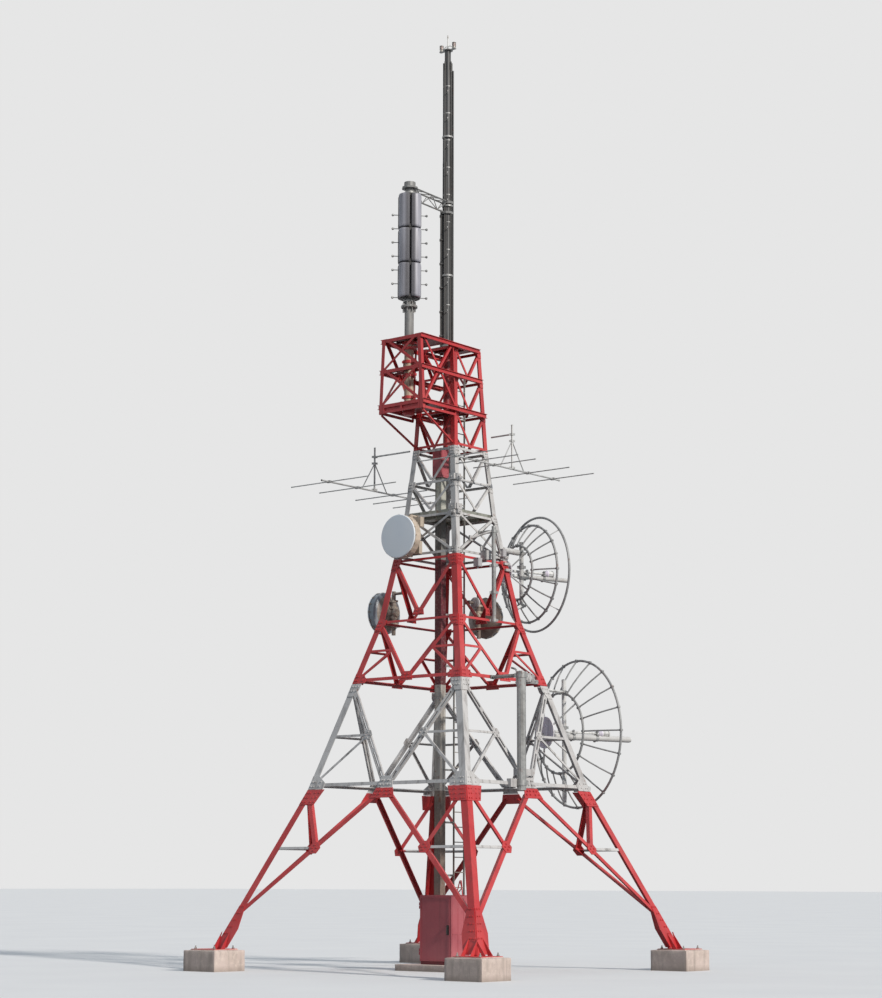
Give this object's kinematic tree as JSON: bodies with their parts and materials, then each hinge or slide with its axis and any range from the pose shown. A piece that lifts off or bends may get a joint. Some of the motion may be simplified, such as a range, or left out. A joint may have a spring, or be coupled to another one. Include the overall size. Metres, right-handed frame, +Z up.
{
  "type": "lattice cell tower",
  "caption": "Self-supporting square lattice cell tower with red and white bands, splayed feet on concrete blocks, dishes, aerials, a top cage and an equipment cabinet with a hinged door.",
  "frame": {"origin": "on the tower axis at the underside of the concrete slab under the cabinet, level with the undersides of the foundation blocks", "axes": "+Z up along the tower, -Y towards the front with the cage overhang and the cabinet door, +X to the right side with the grid dishes"},
  "size_m": [7.46, 7.635, 19.596],
  "materials": {
    "painted_steel_red": "faded satin red paint on steel",
    "painted_steel_white": "weathered white paint on steel",
    "galvanised_steel": "dull hot-dip galvanised",
    "concrete": "cast concrete",
    "cable_duct_paint": "painted in bands like the tower",
    "enclosure_red": "satin red sheet steel",
    "plinth_dark_red": "dark red paint",
    "black_plastic": "matt black",
    "lamp_glass": "frosted lamp cover",
    "antenna_radome": "weathered grey plastic covers",
    "aluminium_grey": "weathered tube",
    "deck_brown": "dull dark red plate",
    "dish_white": "pale grey cover",
    "dish_grey": "weathered pale paint"
  },
  "bodies": {
    "root": {"antenna_bracket": "galvanised_steel", "antenna_mast": "galvanised_steel", "antenna_panels": "antenna_radome", "base_plates": "painted_steel_red", "bracing_bottom": "painted_steel_red", "bracing_lower": "painted_steel_white", "bracing_middle": "painted_steel_red", "bracing_top": "painted_steel_red", "bracing_upper": "painted_steel_white", "cabinet_body": "enclosure_red", "cabinet_plinth": "plinth_dark_red", "cabinet_slab": "concrete", "cable_duct": "cable_duct_paint", "cage_decks": "deck_brown", "cage_front": "painted_steel_red", "cage_posts": "painted_steel_red", "cage_rails": "painted_steel_red", "cage_sides": "painted_steel_red", "cage_struts": "painted_steel_red", "climbing_ladder": "galvanised_steel", "dish_left": "dish_grey", "dish_poles": "galvanised_steel", "dish_right": "dish_grey", "door_hinges": "enclosure_red", "drum_dish": "dish_white", "foundation_blocks": "concrete", "grid_dish_lower": "galvanised_steel", "grid_dish_upper": "galvanised_steel", "leg_gussets": "painted_steel_red", "legs_bottom": "painted_steel_red", "legs_lower": "painted_steel_white", "legs_middle": "painted_steel_red", "legs_top": "painted_steel_red", "legs_upper": "painted_steel_white", "mast_feet": "painted_steel_red", "mast_head": "galvanised_steel", "mast_pole": "galvanised_steel", "obstruction_lights": "lamp_glass", "platform_deck": "galvanised_steel", "ring_knee": "painted_steel_white", "ring_shoulder": "painted_steel_red", "upper_enclosure": "enclosure_red", "yagi_left": "aluminium_grey", "yagi_right": "aluminium_grey"},
    "cabinet_door": {"cabinet_door": "enclosure_red", "door_handle": "black_plastic"}
  },
  "joints": [
    {"name": "cabinet_door_hinge", "type": "hinge", "parent": "root", "child": "cabinet_door", "pos_m": [-0.313, -0.574, 0.8], "axis": [0, 0, -1], "range_deg": [0, 110]}
  ]
}
